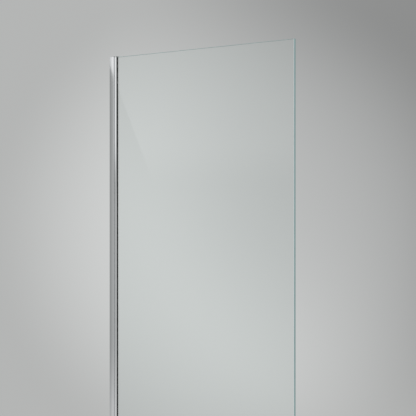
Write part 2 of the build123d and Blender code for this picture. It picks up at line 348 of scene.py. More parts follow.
def carried(outline, normals, stations, axis="Z"):
    """Grid of an outline carried along a straight line, or of one outline for each station."""
    stations = np.asarray(stations, float)
    shape = (len(stations),) + outline.shape[-2:]
    flat = np.broadcast_to(outline, shape)
    normal = np.broadcast_to(normals, shape)
    along = np.broadcast_to(stations[:, None, None], shape[:2] + (1,))
    zero = np.zeros_like(along)
    if axis == "Z":
        return np.concatenate([flat, along], axis=-1), np.concatenate([normal, zero], axis=-1)
    return np.concatenate([along, flat], axis=-1), np.concatenate([zero, normal], axis=-1)


def upright(outline, height):
    """An outline's points at one height."""
    return np.concatenate([outline, np.full((len(outline), 1), height)], axis=1)


def shelf(inner, outer, height, facing):
    """Level ring between two outlines of as many points, facing up for 1 or down for -1."""
    rows = np.stack([upright(inner, height), upright(outer, height)])
    return rows, np.array([0.0, 0.0, facing])


def turned(radii, heights, slopes, count, dent=None):
    """Grid of a profile turned about Z: (r cos t, r sin t, z), with the profile's own normal turned along with it.

    dent, where given, is a function of t and r that lowers z."""
    turn = np.linspace(0, 2 * math.pi, count + 1)
    r = np.asarray(radii, float)[:, None] * np.ones_like(turn)
    z = np.asarray(heights, float)[:, None] * np.ones_like(turn)
    slopes = np.asarray(slopes, float)
    if dent is not None:
        z = z - dent(turn[None], r)
    out, up = slopes[:, :1], slopes[:, 1:]
    points = np.stack([r * np.cos(turn), r * np.sin(turn), z], axis=-1)
    return points, np.stack([out * np.cos(turn), out * np.sin(turn), up * np.ones_like(turn)], axis=-1)


def outline_slopes(points):
    """Unit normals of an open profile of radius and height: its direction of travel turned to the right."""
    travel = np.gradient(np.asarray(points, float), axis=0)
    travel /= np.linalg.norm(travel, axis=1, keepdims=True)
    return np.stack([travel[:, 1], -travel[:, 0]], axis=-1)


def surface_mesh(name, grids, flats=()):
    """Mesh of grids and flat polygons, closed where their points meet.

    A grid is its points, their normals and, where it isn't the first, its material's number; so is a flat polygon.
    A cell whose corners coincide at a pole becomes a triangle, and each face is turned to its normals."""
    points, normals, corners, finishes = [], [], [], []
    base = 0
    for grid, grid_normals, *finish in grids:
        rows, columns = grid.shape[:2]
        index = base + np.arange(rows * columns).reshape(rows, columns)
        cells = np.stack([index[:-1, :-1], index[:-1, 1:], index[1:, 1:], index[1:, :-1]], axis=-1)
        points.append(grid.reshape(-1, 3))
        normals.append(np.broadcast_to(grid_normals, grid.shape).reshape(-1, 3))
        corners.append(cells.reshape(-1, 4))
        finishes.append(np.full(len(corners[-1]), finish[0] if finish else 0))
        base += rows * columns
    cell = np.concatenate(corners)
    point = np.concatenate(points)
    normal = np.concatenate(normals)
    across = np.cross(point[cell[:, 2]] - point[cell[:, 0]], point[cell[:, 3]] - point[cell[:, 1]])
    facing = np.sum(across * normal[cell].sum(axis=1), axis=1)
    cell[facing < 0] = cell[facing < 0][:, ::-1]
    loops = [cell.reshape(-1)]
    counts = [np.full(len(cell), 4)]
    for outline, flat_normal, *finish in flats:
        area = np.cross(outline, np.roll(outline, -1, axis=0)).sum(axis=0)
        order = np.arange(len(outline))[:: 1 if area @ np.asarray(flat_normal, float) > 0 else -1]
        loops.append(base + order)
        counts.append(np.array([len(outline)]))
        finishes.append(np.array([finish[0] if finish else 0]))
        points.append(outline)
        normals.append(np.broadcast_to(np.asarray(flat_normal, float), outline.shape))
        base += len(outline)
    point = np.concatenate(points)
    normal = np.concatenate(normals)
    loop = np.concatenate(loops)
    count = np.concatenate(counts)
    _, first, merged = np.unique(
        np.round(point / (1e-4 * MM)).astype(np.int64), axis=0, return_index=True, return_inverse=True
    )
    vertex = merged.reshape(-1)[loop]
    face = np.repeat(np.arange(len(count)), count)
    start = np.cumsum(count) - count
    following = start[face] + (np.arange(len(loop)) - start[face] + 1) % count[face]
    keep = vertex != vertex[following]
    left = np.bincount(face[keep], minlength=len(count))
    whole = left > 2
    keep &= whole[face]
    left = left[whole]
    mesh = bpy.data.meshes.new(name)
    mesh.vertices.add(len(first))
    mesh.vertices.foreach_set("co", point[first].astype(np.float32).ravel())
    mesh.loops.add(int(keep.sum()))
    mesh.loops.foreach_set("vertex_index", vertex[keep].astype(np.int32))
    mesh.polygons.add(len(left))
    mesh.polygons.foreach_set("loop_start", (np.cumsum(left) - left).astype(np.int32))
    mesh.polygons.foreach_set("use_smooth", np.ones(len(left), bool))
    mesh.polygons.foreach_set("material_index", np.concatenate(finishes)[whole].astype(np.int32))
    mesh.update(calc_edges=True)
    loop_normals = normal[loop[keep]]
    loop_normals = loop_normals / np.linalg.norm(loop_normals, axis=1, keepdims=True)
    mesh.normals_split_custom_set(loop_normals.tolist())
    return mesh


def new_object(name, data):
    """New object in the scene."""
    made = bpy.data.objects.new(name, data)
    bpy.context.scene.collection.objects.link(made)
    return made


def add_piece(name, mesh, materials, body, slot, *nodes):
    """Puts a mesh in the scene as a piece that rides on a body and stands for its CAD nodes."""
    for material in materials:
        mesh.materials.append(material)
    piece = new_object(name, mesh)
    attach(piece, body)
    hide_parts(*nodes)


def add_pair(names, grids, material, body, slot):
    """Puts an upright strip on the bath side of the glass and its mirror image on the room side.

    The names are those of the piece and its CAD node, for each side."""
    for (name, node_name), side in zip(names, (1.0, -1.0)):
        flip = np.array([1.0, side, 1.0])
        placed = [(points * flip, normals * flip) for points, normals in grids]
        flats = [(placed[0][0][0, :-1], (0, 0, -1)), (placed[-1][0][-1, :-1], (0, 0, 1))]
        add_piece(name, surface_mesh(name, placed, flats), [material], body, slot, node_name)


# Shader nodes


def plug(tree, made, **inputs):
    """Gives a node its inputs: a value stays on the socket, and a socket is linked to it.

    An input's name is the socket's name with underscores for spaces, or in and its number."""
    for name, value in inputs.items():
        numbered = name.startswith("in_") and name[3:].isdigit()
        socket = made.inputs[int(name[3:])] if numbered else made.inputs[name.replace("_", " ")]
        if isinstance(value, bpy.types.NodeSocket):
            tree.links.new(value, socket)
        else:
            socket.default_value = value
    return made


def node(tree, kind, settings=None, **inputs):
    """New node with its settings and inputs."""
    made = tree.nodes.new(kind)
    for name, value in (settings or {}).items():
        setattr(made, name, value)
    return plug(tree, made, **inputs)


def maths(tree, operation, *values, kind="ShaderNodeMath"):
    """Result of a Math or Vector Math node, which is a number for a length or a dot product."""
    inputs = {f"in_{number}": value for number, value in enumerate(values)}
    made = node(tree, kind, {"operation": operation}, **inputs)
    return made.outputs["Value"] if operation in ("LENGTH", "DOT_PRODUCT") else made.outputs[0]


def vector_maths(tree, operation, *values):
    """Result of a Vector Math node."""
    return maths(tree, operation, *values, kind="ShaderNodeVectorMath")


def noise(tree, place, scale, detail, roughness=0.5):
    """Soft noise between 0 and 1."""
    made = node(tree, "ShaderNodeTexNoise", Vector=place, Scale=scale, Detail=detail, Roughness=roughness)
    return made.outputs["Fac"]


def scattered(tree, place, scale):
    """Distance from the nearest of many scattered points."""
    return node(tree, "ShaderNodeTexVoronoi", Vector=place, Scale=scale).outputs["Distance"]


def smooth(tree, value, low=0.0, high=1.0, **limits):
    """Rises smoothly from 0 to 1, or between other limits, while the value goes from low to high."""
    step = {"interpolation_type": "SMOOTHSTEP"}
    made = node(tree, "ShaderNodeMapRange", step, Value=value, From_Min=low, From_Max=high, **limits)
    return made.outputs["Result"]


def between(tree, factor, low, high):
    """Value that goes from low to high with the factor."""
    return node(tree, "ShaderNodeMapRange", Value=factor, To_Min=low, To_Max=high).outputs["Result"]


def bump(tree, height, strength, distance=0.1 * MM):
    """Normal that follows a height."""
    return node(tree, "ShaderNodeBump", Strength=strength, Distance=distance, Height=height).outputs["Normal"]


def colour(value):
    """A colour as four numbers."""
    return (*value[:3], 1.0)


def scaled(value, factor):
    """A colour made darker or lighter by a factor."""
    return tuple(min(1.0, factor * channel) for channel in value[:3])


def blend(tree, factor, first, second, kind="MIX"):
    """Colour that goes from first to second with the factor, or to their sum for the kind ADD."""
    ends = [value if isinstance(value, bpy.types.NodeSocket) else colour(value) for value in (first, second)]
    settings = {"data_type": "RGBA", "blend_type": kind}
    return node(tree, "ShaderNodeMix", settings, in_0=factor, in_6=ends[0], in_7=ends[1]).outputs[2]


# Effects that several materials share, each a node group


def drawn_lines(tree, start):
    """Long fine lines of a drawn or extruded surface: noise on coordinates that are stretched along the piece."""
    lines = noise(tree, vector_maths(tree, "MULTIPLY", start["Vector"], start["Fineness"]), 1.0, 3.0, 0.6)
    return {"Lines": lines, "Normal": bump(tree, lines, start["Strength"])}


def soft_blotches(tree, start):
    """Soft patches, as of dried residue or uneven moulding: noise stretched between two levels."""
    patches = noise(tree, start["Vector"], start["Scale"], 5.0)
    return {"Mask": smooth(tree, patches, start["Low"], start["High"])}


def moulded_grain(tree, start):
    """Fine even grain of moulded plastic or rubber: noise plus half the distance from scattered points."""
    fine = noise(tree, start["Vector"], start["Scale"], 2.0)
    grain = maths(tree, "MULTIPLY_ADD", scattered(tree, start["Vector"], start["Scale"]), 0.5, fine)
    return {"Grain": grain, "Normal": bump(tree, grain, start["Strength"])}


def turning_rings(tree, start):
    """Turning marks: sine of the distance from an upright axis, which is the same on both sides of the glass."""
    offset = vector_maths(tree, "SUBTRACT", vector_maths(tree, "ABSOLUTE", start["Vector"]), start["Centre"])
    reach = vector_maths(tree, "LENGTH", vector_maths(tree, "MULTIPLY", offset, (1, 1, 0)))
    angle = maths(tree, "MULTIPLY", maths(tree, "DIVIDE", reach, start["Pitch"]), 2 * math.pi)
    rings = maths(tree, "MULTIPLY_ADD", maths(tree, "SINE", angle), 0.5, 0.5)
    return {"Rings": rings, "Normal": bump(tree, rings, start["Strength"], 0.05 * MM)}


def past_a_plane(tree, start):
    """Mask of 1 past a plane, rising smoothly over a width. The plane is the points whose dot product with the
    direction is the place."""
    along = vector_maths(tree, "DOT_PRODUCT", start["Vector"], start["Direction"])
    past = maths(tree, "SUBTRACT", along, start["Place"])
    return {"Mask": smooth(tree, maths(tree, "DIVIDE", past, start["Width"]))}


def dried_drops(tree, start):
    """Faint round marks of dried drops: rings at a set distance from scattered points, thinned by noise."""
    ring = maths(tree, "COMPARE", scattered(tree, start["Vector"], start["Scale"]), 0.18, 0.035)
    sparse = smooth(tree, noise(tree, start["Vector"], 9.0, 2.0), 0.48, 0.66)
    return {"Mask": maths(tree, "MULTIPLY", maths(tree, "MULTIPLY", ring, sparse), start["Amount"])}


EFFECTS = {
    "Drawn Lines": (drawn_lines, {"Fineness": (900.0, 900.0, 5.0), "Strength": 0.05}, ("Lines", "Normal")),
    "Soft Blotches": (soft_blotches, {"Scale": 20.0, "Low": 0.35, "High": 0.7}, ("Mask",)),
    "Moulded Grain": (moulded_grain, {"Scale": 1500.0, "Strength": 0.2}, ("Grain", "Normal")),
    "Turning Rings": (
        turning_rings, {"Centre": (0.0, 0.0, 0.0), "Pitch": 0.25 * MM, "Strength": 0.2}, ("Rings", "Normal")
    ),
    "Past A Plane": (past_a_plane, {"Direction": (1.0, 0.0, 0.0), "Place": 0.0, "Width": MM}, ("Mask",)),
    "Dried Drops": (dried_drops, {"Scale": 90.0, "Amount": 0.5}, ("Mask",)),
}


def new_group(name):
    """Shader group of an effect. A default of three numbers makes a vector input, and one makes a plain input."""
    build, inputs, outputs = EFFECTS[name]
    group = bpy.data.node_groups.new(name, "ShaderNodeTree")
    for label, default in {"Vector": (0.0, 0.0, 0.0), **inputs}.items():
        kind = "NodeSocketVector" if isinstance(default, tuple) else "NodeSocketFloat"
        group.interface.new_socket(name=label, in_out="INPUT", socket_type=kind).default_value = default
    for label in outputs:
        kind = "NodeSocketVector" if label == "Normal" else "NodeSocketFloat"
        group.interface.new_socket(name=label, in_out="OUTPUT", socket_type=kind)
    start = group.nodes.new("NodeGroupInput").outputs
    plug(group, group.nodes.new("NodeGroupOutput"), **build(group, start))
    return group


def effect(tree, name, place, **inputs):
    """Outputs of a shared effect placed in a material with its own values."""
    group = bpy.data.node_groups.get(name) or new_group(name)
    return node(tree, "ShaderNodeGroup", {"node_tree": group}, Vector=place, **inputs).outputs


# Materials


def new_material(name):
    """Empty material with a Principled shader and Object coordinates."""
    material = bpy.data.materials.new(name)
    material.use_nodes = True
    tree = material.node_tree
    tree.nodes.clear()
    shader = tree.nodes.new("ShaderNodeBsdfPrincipled")
    node(tree, "ShaderNodeOutputMaterial", Surface=shader.outputs["BSDF"])
    return material, tree, shader, tree.nodes.new("ShaderNodeTexCoord").outputs["Object"]


def chrome_material(name, finish, painted_shade_from, painted_shade_to):
    """Bright chrome on a drawn profile: fine lines along it, dried drops, and painted shade that darkens it towards
    the wall.
    """
    material, tree, shader, place = new_material(name)
    lines = effect(tree, "Drawn Lines", place, Fineness=(700.0, 700.0, 3.0), Strength=0.004)
    # Painted shade: a mask that darkens the chrome towards the wall, fading out across the given span.
    painted_shade = effect(tree, "Past A Plane", place, Direction=(-1.0, 0.0, 0.0), Place=-painted_shade_to, Width=painted_shade_to - painted_shade_from)
    drops = effect(tree, "Dried Drops", place, Scale=120.0, Amount=0.5)
    tone = blend(tree, lines["Lines"], scaled(finish.chrome, 0.97), scaled(finish.chrome, 1.02))
    tone = blend(tree, painted_shade["Mask"], tone, finish.chrome_painted_shade)
    shine = maths(tree, "MULTIPLY_ADD", drops["Mask"], 0.08, between(tree, lines["Lines"], 0.012, 0.03))
    plug(tree, shader, Base_Color=tone, Roughness=shine, Normal=lines["Normal"], Metallic=1.0)
    return material


def cast_chrome_material(name, finish):
    """Chrome on a cast or moulded piece, a little darker than on the profiles: faint ripple and dried drops."""
    material, tree, shader, place = new_material(name)
    ripple = effect(tree, "Moulded Grain", place, Scale=260.0, Strength=0.03)
    patches = effect(tree, "Soft Blotches", place, Scale=90.0)
    drops = effect(tree, "Dried Drops", place, Scale=150.0, Amount=0.6)
    tone = blend(tree, patches["Mask"], scaled(finish.chrome, 0.78), scaled(finish.chrome, 0.72))
    shine = maths(tree, "MULTIPLY_ADD", drops["Mask"], 0.12, between(tree, patches["Mask"], 0.06, 0.12))
    plug(tree, shader, Base_Color=tone, Roughness=shine, Normal=ripple["Normal"], Metallic=1.0)
    return material


def drawn_aluminium_material(finish):
    """Plain drawn aluminium: clear die lines and dull patches of oxide."""
    material, tree, shader, place = new_material("plain_drawn_aluminium")
    lines = effect(tree, "Drawn Lines", place, Fineness=(1400.0, 1400.0, 4.0), Strength=0.35)
    patches = effect(tree, "Soft Blotches", place, Scale=35.0)
    tone = blend(tree, lines["Lines"], scaled(finish.aluminium, 0.88), scaled(finish.aluminium, 1.08))
    tone = blend(tree, patches["Mask"], tone, scaled(finish.aluminium, 0.85))
    shine = between(tree, lines["Lines"], 0.28, 0.46)
    plug(tree, shader, Base_Color=tone, Roughness=shine, Normal=lines["Normal"], Metallic=1.0)
    return material


def turned_steel_material(name, finish, centre):
    """Turned stainless steel: rings about each piece's own axis and a little uneven shine."""
    material, tree, shader, place = new_material(name)
    rings = effect(tree, "Turning Rings", place, Centre=centre, Pitch=0.22 * MM, Strength=0.25)
    patches = effect(tree, "Soft Blotches", place, Scale=400.0)
    tone = blend(tree, rings["Rings"], scaled(finish.steel, 0.92), scaled(finish.steel, 1.05))
    shine = between(tree, patches["Mask"], 0.2, 0.34)
    plug(tree, shader, Base_Color=tone, Roughness=shine, Normal=rings["Normal"], Metallic=1.0)
    return material


def moulded_material(name, base, grain_scale, grain_strength, shine):
    """Moulded plastic: fine grain, soft patches of colour and an uneven satin."""
    material, tree, shader, place = new_material(name)
    grain = effect(tree, "Moulded Grain", place, Scale=grain_scale, Strength=grain_strength)
    patches = effect(tree, "Soft Blotches", place, Scale=60.0)
    tone = blend(tree, patches["Mask"], base, scaled(base, 1.25))
    tone = blend(tree, between(tree, grain["Grain"], 0.0, 0.25), tone, scaled(base, 0.75))
    satin = between(tree, grain["Grain"], shine - 0.08, shine + 0.08)
    plug(tree, shader, Base_Color=tone, Roughness=satin, Normal=grain["Normal"])
    return material


def extruded_rubber_material(name, base, shine):
    """Extruded rubber: die lines along the strip over soft patches."""
    material, tree, shader, place = new_material(name)
    lines = effect(tree, "Drawn Lines", place, Fineness=(1600.0, 1600.0, 12.0), Strength=0.3)
    patches = effect(tree, "Soft Blotches", place, Scale=45.0)
    tone = blend(tree, lines["Lines"], scaled(base, 0.8), scaled(base, 1.25))
    tone = blend(tree, patches["Mask"], tone, scaled(base, 1.5))
    satin = between(tree, lines["Lines"], shine - 0.08, shine + 0.1)
    plug(tree, shader, Base_Color=tone, Roughness=satin, Normal=lines["Normal"])
    return material


def let_lamps_through(tree, shader, cast):
    """Mixes in a clear shader for rays towards lamps, so that a see-through piece casts only a faint shadow."""
    output = next(made for made in tree.nodes if made.type == "OUTPUT_MATERIAL")
    shadow = tree.nodes.new("ShaderNodeLightPath").outputs["Is Shadow Ray"]
    clear = node(tree, "ShaderNodeBsdfTransparent", Color=colour(cast)).outputs["BSDF"]
    mix = node(tree, "ShaderNodeMixShader", in_0=shadow, in_1=shader.outputs["BSDF"], in_2=clear)
    plug(tree, output, Surface=mix.outputs["Shader"])


def glass_material(finish):
    """Faces of clear toughened glass: a faint cast, and dried drops that catch a little light."""
    material, tree, shader, place = new_material("clear_toughened_glass")
    drops = effect(tree, "Dried Drops", place, Scale=70.0, Amount=0.5)
    tone = blend(tree, drops["Mask"], finish.glass, scaled(finish.glass, 0.96))
    plug(tree, shader, Base_Color=tone, Roughness=between(tree, drops["Mask"], 0.0, 0.05))
    plug(tree, shader, Transmission_Weight=1.0, Metallic=0.0, IOR=1.52)
    let_lamps_through(tree, shader, finish.glass)
    return material


def glass_edge_material(name, base, fineness, shine):
    """Edge or bevel of the glass: grinding marks across an even body colour, with soft patches."""
    material, tree, shader, place = new_material(name)
    marks = effect(tree, "Moulded Grain", place, Scale=fineness, Strength=0.05)
    patches = effect(tree, "Soft Blotches", place, Scale=30.0)
    tone = blend(tree, marks["Grain"], scaled(base, 0.9), scaled(base, 1.05))
    tone = blend(tree, patches["Mask"], tone, scaled(base, 1.08))
    polish = between(tree, marks["Grain"], shine, shine + 0.1)
    plug(tree, shader, Base_Color=tone, Roughness=polish, Normal=marks["Normal"], IOR=1.52)
    return material


def clear_seal_material(finish):
    """Clear soft plastic: faint lines along the strip, slightly cloudy."""
    material, tree, shader, place = new_material("clear_soft_seal")
    lines = effect(tree, "Drawn Lines", place, Fineness=(8.0, 1500.0, 1500.0), Strength=0.12)
    clouds = effect(tree, "Soft Blotches", place, Scale=25.0)
    tone = blend(tree, clouds["Mask"], finish.clear_seal, scaled(finish.clear_seal, 0.93))
    polish = between(tree, lines["Lines"], 0.12, 0.26)
    plug(tree, shader, Base_Color=tone, Roughness=polish, Normal=lines["Normal"])
    plug(tree, shader, Transmission_Weight=0.85, Metallic=0.0, IOR=1.45)
    let_lamps_through(tree, shader, finish.clear_seal)
    return material


def floor_material(studio):
    """Pale matt floor with a faint grain that fades out towards its rim."""
    material, tree, shader, place = new_material("studio_floor")
    specks = effect(tree, "Soft Blotches", place, Scale=40.0)
    tone = blend(tree, specks["Mask"], studio.floor, scaled(studio.floor, 0.97))
    reach = vector_maths(tree, "LENGTH", place)
    fade = smooth(tree, reach, 0.55 * studio.floor_radius, 0.98 * studio.floor_radius, To_Min=1.0, To_Max=0.0)
    plug(tree, shader, Base_Color=tone, Roughness=0.8, Alpha=fade)
    return material


# Operators: one for each piece or group of like pieces


class BATHSCREEN_OT_pivot_bar(bpy.types.Operator):
    """Round pivot bar with its glazing pocket, hollow back and plug sockets"""

    bl_idname = "bath_screen.pivot_bar"
    bl_label = "Round Pivot Bar"

    def execute(self, context):
        """Carries the bar's contour between its ends, with the sockets' contour over each plug."""
        sizes = context.scene.bath_screen_bar
        finish = context.scene.bath_screen_finish
        radius = PROFILE_RADIUS
        inner = radius - sizes.wall
        half = sizes.pocket_half
        jaw = PROFILE_HIGH.x
        floor_x = PIVOT_X - sizes.pocket_back
        low, high = PROFILE_LOW.z, PROFILE_HIGH.z
        plug = PLUG_HIGH.z - PLUG_LOW.z
        tip = sizes.jaw_round
        outer_angle = math.acos((jaw - tip - PIVOT_X) / (radius - tip))
        tip_centre = (PIVOT_X + (radius - tip) * math.cos(outer_angle), (radius - tip) * math.sin(outer_angle))
        upper_lip = joined(
            segment((PIVOT_X, half), (jaw - tip, half)),
            arc((jaw - tip, half + tip), tip, -math.pi / 2, 0, 4),
            arc(tip_centre, tip, 0, outer_angle, 4),
        )
        round_back = arc((PIVOT_X, 0), radius, outer_angle, 2 * math.pi - outer_angle, 150)
        lower_lip = tuple(part[::-1] * np.array([1, -1]) for part in upper_lip)
        shell = joined(upper_lip, round_back, lower_lip)
        pocket = joined(
            segment((PIVOT_X, -half), (floor_x, -half)),
            segment((floor_x, -half), (floor_x, half)),
            segment((floor_x, half), (PIVOT_X, half)),
        )
        web_angle = math.acos((floor_x - sizes.wall - PIVOT_X) / inner)
        bore = [
            (points, -radial)
            for points, radial in (
                arc((PIVOT_X, 0), inner, 1.5 * math.pi, 2 * math.pi - web_angle, 30),
                arc((PIVOT_X, 0), inner, 2 * math.pi - web_angle, web_angle, 60),
                arc((PIVOT_X, 0), inner, web_angle, 0.5 * math.pi, 30),
            )
        ]
        hollow = joined(bore[1], segment(bore[1][0][-1], bore[1][0][0]))
        socket = joined(
            segment((PIVOT_X, -half), (PIVOT_X, -inner)), *bore, segment((PIVOT_X, inner), (PIVOT_X, half))
        )
        socket_floor = np.concatenate([bore[0][0], bore[2][0], pocket[0][::-1]])
        end_face = np.concatenate([shell[0], socket[0]])
        middle = (low + plug, high - plug)
        grids = [
            carried(*shell, (low, *middle, high)),
            carried(*pocket, middle),
            carried(*hollow, middle),
            carried(*socket, (low, middle[0])),
            carried(*socket, (middle[1], high)),
        ]
        flats = [
            (upright(end_face, low), (0, 0, -1)),
            (upright(end_face, high), (0, 0, 1)),
            (upright(socket_floor, middle[0]), (0, 0, -1)),
            (upright(socket_floor, middle[1]), (0, 0, 1)),
        ]
        # The bar gets the chrome's painted shade over a span that ends at its back.
        material = chrome_material("bright_chrome_bar", finish, PIVOT_X - 2 * radius, PIVOT_X - radius)
        mesh = surface_mesh("round_pivot_bar", grids, flats)
        add_piece("round_pivot_bar", mesh, [material], SCREEN_BODY, "chrome_profile", "pivot_profile")
        return {"FINISHED"}


class BATHSCREEN_OT_gaskets(bpy.types.Operator):
    """Black wedge gaskets between the jaws and the glass"""

    bl_idname = "bath_screen.gaskets"
    bl_label = "Glazing Gaskets"
    plug_clearance = 0.2 * MM
    jaw_clearance = 0.02 * MM

    def execute(self, context):
        """Carries a wedge with a rounded nose and a hollow slope up each side of the glass.

        Between the pivot plugs the same outline reaches back along the glass as a stem."""
        sizes = context.scene.bath_screen_gasket
        bar = context.scene.bath_screen_bar
        finish = context.scene.bath_screen_finish
        material = extruded_rubber_material("black_gasket_rubber", finish.rubber, 0.48)
        plug_gap = context.scene.bath_screen_glass.plug_gap
        stem_low = LOWER_PLUG_HIGH.z + plug_gap
        stem_high = PLUG_LOW.z - plug_gap
        short = self.outline(sizes, bar, PLUG_HIGH.x + self.plug_clearance)
        long = self.outline(sizes, bar, GASKET_LOW.x)
        grids = [
            carried(*short, (GASKET_LOW.z, stem_low)),
            shelf(short[0], long[0], stem_low, -1),
            carried(*long, (stem_low, stem_high)),
            shelf(short[0], long[0], stem_high, 1),
            carried(*short, (stem_high, GASKET_HIGH.z)),
        ]
        names = (("inner_gasket", "inner_glazing_gasket"), ("outer_gasket", "outer_glazing_gasket"))
        add_pair(names, grids, material, SCREEN_BODY, "black_rubber")
        return {"FINISHED"}

    def outline(self, sizes, bar, back):
        """Closed outline of the gasket from its back edge to its nose."""
        glass_y = GLASS_HALF + sizes.glass_gap
        jaw = PROFILE_HIGH.x + self.jaw_clearance
        wall = bar.pocket_half - self.jaw_clearance
        nose = GASKET_HIGH.x
        lip = GASKET_HIGH.y
        middle = (0.5 * (jaw + nose) - sizes.sag, 0.5 * (glass_y + lip) - sizes.sag)
        corners = [(back, glass_y), (nose, glass_y), middle, (jaw + 0.25 * MM, lip), (jaw, lip)]
        corners += [(jaw, wall), (back, wall)]
        radii = [0.1 * MM, 0.5 * sizes.nose_round, 1.0 * MM, 0.1 * MM, 0.06 * MM, 0.02 * MM, 0.1 * MM]
        return closed(*rounded_outline(corners, radii))


class BATHSCREEN_OT_glass_pane(bpy.types.Operator):
    """Clear pane with polished edges and ground bevels, notched behind the jaws for the pivot plugs"""

    bl_idname = "bath_screen.glass_pane"
    bl_label = "Glass Pane"

    def execute(self, context):
        """Sets the outline in at both faces by the bevel's width and spans each side with bevel, edge and bevel.

        The top side's bevels look like its edge, and the five sides in the pocket are painted dark as shade."""
        sizes = context.scene.bath_screen_glass
        finish = context.scene.bath_screen_finish
        notch = PLUG_HIGH.x + 0.6 * MM
        notch_low = LOWER_PLUG_HIGH.z + sizes.plug_gap
        notch_high = PLUG_LOW.z - sizes.plug_gap
        across = [notch, GLASS_HIGH.x, GLASS_HIGH.x, notch, notch, GLASS_LOW.x, GLASS_LOW.x, notch]
        level = [GLASS_LOW.z, GLASS_LOW.z, GLASS_HIGH.z, GLASS_HIGH.z, notch_high, notch_high, notch_low, notch_low]
        corners = np.stack([across, level], axis=-1)
        depth = GLASS_HALF - sizes.arris
        rows = [
            np.insert(inset(corners, reach), 1, y, axis=1)
            for reach, y in ((sizes.arris, -GLASS_HALF), (0, -depth), (0, depth), (sizes.arris, GLASS_HALF))
        ]
        outward = np.insert(-side_normals(corners), 1, 0, axis=1)
        # The sides in the pocket get painted shade: the rubber's near-black on their edges and bevels.
        edge, arris, pocket_shade = 1, 2, 3
        looks = [(arris, edge, arris), (arris, edge, arris), (edge, edge, edge)] + 5 * [(pocket_shade, pocket_shade, pocket_shade)]
        grids = []
        for side, normal in enumerate(outward):
            ends = [side, (side + 1) % len(corners)]
            for row, lean in enumerate((-1, 0, 1)):
                band = np.stack([rows[row][ends], rows[row + 1][ends]])
                grids.append((band, normal + np.array([0, lean, 0]), looks[side][row]))
        flats = [(rows[0], (0, -1, 0)), (rows[3], (0, 1, 0))]
        mesh = surface_mesh("glass_pane", grids, flats)
        materials = [
            glass_material(finish),
            glass_edge_material("polished_glass_edge", finish.glass_edge, 700.0, 0.06),
            glass_edge_material("ground_glass_arris", finish.glass_arris, 2500.0, 0.3),
            # Painted shade for the five sides in the pocket.
            glass_edge_material("pocket_shade_glass_edge", finish.rubber, 900.0, 0.5),
        ]
        add_piece("glass_pane", mesh, materials, SCREEN_BODY, "clear_glass", "glass_panel")
        return {"FINISHED"}


class BATHSCREEN_OT_wipers(bpy.types.Operator):
    """Grey wiper seals between the jamb's seat and the round bar"""

    bl_idname = "bath_screen.wipers"
    bl_label = "Wiper Seals"

    def execute(self, context):
        """Carries a foot with a round bead up each side, turned to face the bar."""
        sizes = context.scene.bath_screen_wiper
        finish = context.scene.bath_screen_finish
        material = extruded_rubber_material("grey_wiper_rubber", finish.grey_seal, 0.5)
        centre = 0.5 * (WIPER_LOW + WIPER_HIGH)
        away = np.array([centre.x - PIVOT_X, centre.y])
        reach = np.linalg.norm(away)
        away /= reach
        across = np.array([-away[1], away[0]])
        bead = PROFILE_RADIUS + sizes.running_gap + sizes.bead_radius
        back = 2 * reach - PROFILE_RADIUS - sizes.running_gap
        throat = 0.6 * sizes.bead_radius
        half = sizes.foot_half
        lower = [
            (bead - sizes.bead_radius, -sizes.bead_radius),
            (bead + 0.2 * MM, -sizes.bead_radius),
            (bead + 0.35 * MM, -throat),
            (bead + 0.5 * MM, -half),
            (back, -half),
        ]
        upper = [(along, -aside) for along, aside in reversed(lower)]
        radii = np.array([0.42, 0.08, 0.03, 0.05, 0.08]) * MM
        flat, flat_normals = rounded_outline(lower + upper, np.concatenate([radii, radii[::-1]]))
        outline = np.array([PIVOT_X, 0]) + flat[:, :1] * away + flat[:, 1:] * across
        normals = flat_normals[:, :1] * away + flat_normals[:, 1:] * across
        names = (("inner_wiper", "inner_wiper_seal"), ("outer_wiper", "outer_wiper_seal"))
        grid = carried(*closed(outline, normals), (WIPER_LOW.z, WIPER_HIGH.z))
        add_pair(names, [grid], material, WALL_BODY, "grey_seal")
        return {"FINISHED"}


